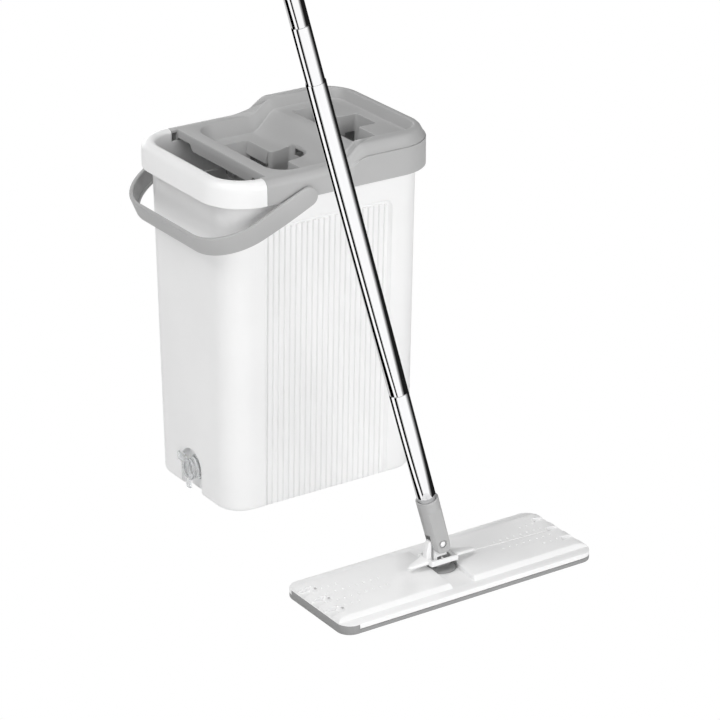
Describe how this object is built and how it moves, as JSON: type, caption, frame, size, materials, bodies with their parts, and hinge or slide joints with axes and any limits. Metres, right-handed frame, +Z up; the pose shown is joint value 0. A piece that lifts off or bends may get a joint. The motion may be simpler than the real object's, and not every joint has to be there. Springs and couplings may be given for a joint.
{
  "type": "mop and bucket with wringer",
  "caption": "Tall flat-mop bucket with lift-out two-slot wringer lid, swinging handle and drain plug, beside a telescopic flat mop with a pivoting plate.",
  "frame": {"origin": "middle of the tub's flat underside, on the floor", "axes": "+X along the tub's long side, away from the pouring end; +Y away from the mop; +Z up"},
  "size_m": [0.5118, 0.5146, 1.228],
  "materials": {
    "white_plastic": "smooth, slightly glossy moulded polypropylene",
    "grey_plastic": "satin moulded plastic, mid grey",
    "dark_grey_plastic": "satin moulded plastic, darker grey",
    "clear_plastic": "clear soft plastic",
    "chromed_tube": "bright polished steel tube",
    "steel": "plain zinc-plated steel",
    "soft_sole": "soft matt grey elastomer",
    "hook_strip": "woven hook tape"
  },
  "bodies": {
    "bucket": {"tub": "white_plastic"},
    "lid": {"wringer_lid": "grey_plastic", "wash_scraper": "dark_grey_plastic", "squeeze_scraper": "dark_grey_plastic", "wash_scraper_screw_1": "steel", "wash_scraper_screw_2": "steel", "squeeze_scraper_screw_1": "steel", "squeeze_scraper_screw_2": "steel"},
    "handle": {"bail_handle": "grey_plastic"},
    "plug": {"drain_plug": "clear_plastic"},
    "pole": {"fork_socket": "grey_plastic", "fork_pin": "white_plastic", "lower_tube": "chromed_tube", "lower_joint": "dark_grey_plastic", "middle_tube": "chromed_tube"},
    "upper_pole": {"upper_tube": "chromed_tube", "twist_lock": "dark_grey_plastic", "upper_joint": "dark_grey_plastic", "top_tube": "chromed_tube", "grip": "grey_plastic", "hanging_cap": "grey_plastic"},
    "cradle": {"rocker": "white_plastic", "rocker_pin": "steel"},
    "head": {"mop_plate": "white_plastic", "mop_sole": "soft_sole", "hook_strip_1": "hook_strip", "hook_strip_2": "hook_strip", "head_hub": "dark_grey_plastic", "hub_screw_1": "steel", "hub_screw_2": "steel"}
  },
  "joints": [
    {"name": "lid_lift", "type": "slide", "parent": "bucket", "child": "lid", "axis": [0, 0, 1], "range_m": [0, 0.032]},
    {"name": "handle_swing", "type": "hinge", "parent": "bucket", "child": "handle", "pos_m": [-0.041, 0, 0.3795], "axis": [0, 1, 0], "range_deg": [0, 115]},
    {"name": "drain_plug_pull", "type": "slide", "parent": "bucket", "child": "plug", "axis": [-1, 0, 0], "range_m": [0, 0.03]},
    {"name": "mop_lift", "type": "slide", "parent": "bucket", "child": "pole", "axis": [0, 0, 1], "range_m": [0, 0.45]},
    {"name": "pole_telescope", "type": "slide", "parent": "pole", "child": "upper_pole", "axis": [0.2706, 0, -0.9627], "range_m": [0, 0.25]},
    {"name": "pole_tilt", "type": "hinge", "parent": "pole", "child": "cradle", "pos_m": [-0.018, -0.336, 0.0445], "axis": [0, -1, 0], "range_deg": [0, 105.7]},
    {"name": "plate_rock", "type": "hinge", "parent": "cradle", "child": "head", "pos_m": [-0.0136, -0.336, 0.0225], "axis": [1, 0, 0], "range_deg": [-25, 25]}
  ]
}
